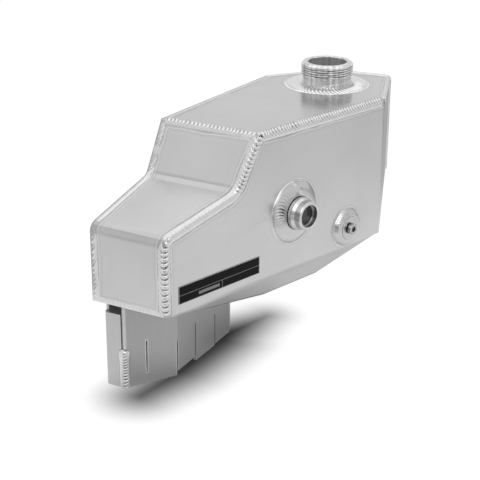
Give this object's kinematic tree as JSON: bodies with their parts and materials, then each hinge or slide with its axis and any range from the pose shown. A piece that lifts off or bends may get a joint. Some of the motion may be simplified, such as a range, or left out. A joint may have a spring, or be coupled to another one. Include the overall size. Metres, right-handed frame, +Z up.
{
  "type": "coolant degas bottle",
  "caption": "Welded aluminium coolant expansion tank with threaded filler neck, screwed sight glass, service plug, hose outlets and a slotted sheet bracket.",
  "frame": {"origin": "middle of the bounding box in plan, at the bracket's lowest edge", "axes": "+X along the near side plate from nose to rear, +Z up along the filler neck, -Y out of the sight glass"},
  "size_m": [0.447, 0.2262, 0.2815],
  "materials": {
    "plate": "satin brushed sheet",
    "weld": "rippled weld bead",
    "turned": "bright turned",
    "steel": "spring steel",
    "rubber": "matt black",
    "glass": "clear",
    "label": "semi-gloss black"
  },
  "bodies": {
    "tank": {"near_side_plate": "plate", "far_side_plate": "plate", "rear_plate": "plate", "top_plate": "plate", "front_wrap": "plate", "underside_pan": "plate", "near_skirt": "plate", "far_skirt": "plate", "baffle_plate": "plate", "near_seam": "weld", "far_seam": "weld", "rear_seam": "weld", "riser_seam": "weld", "front_seam": "weld", "filler_neck": "turned", "neck_weld": "weld", "sight_bung": "turned", "sight_weld": "weld", "port_bung": "turned", "port_weld": "weld", "label_plate": "label", "outlet_pipe": "turned", "outlet_weld": "weld", "front_vent_pipe": "turned", "rear_vent_pipe": "turned", "rear_tab": "plate", "bracket_side": "plate", "bracket_frame": "plate", "bracket_seam": "weld"},
    "sight_ring_seal": {"sight_seal": "rubber"},
    "sight_holder": {"sight_body": "turned", "lens_gasket": "rubber", "sight_lens": "glass", "lens_ring": "steel"},
    "plug_seal": {"port_seal": "rubber"},
    "plug": {"port_plug": "turned"}
  },
  "joints": [
    {"name": "sight_draw", "type": "slide", "parent": "tank", "child": "sight_ring_seal", "axis": [0, -1, 0], "range_m": [0, 0.012]},
    {"name": "sight_turn", "type": "hinge", "parent": "sight_ring_seal", "child": "sight_holder", "pos_m": [-0.01281, -0.0911, 0.1585], "axis": [0, -1, 0], "range_deg": [0, 2880]},
    {"name": "plug_draw", "type": "slide", "parent": "tank", "child": "plug_seal", "axis": [0, -1, 0], "range_m": [0, 0.009]},
    {"name": "plug_turn", "type": "hinge", "parent": "plug_seal", "child": "plug", "pos_m": [0.07579, -0.0911, 0.1169], "axis": [0, -1, 0], "range_deg": [0, 2160]}
  ],
  "couplings": [
    {"joint": "sight_turn", "follows": "sight_draw", "rad_per_m": 4188.8},
    {"joint": "plug_turn", "follows": "plug_draw", "rad_per_m": 4188.8}
  ]
}
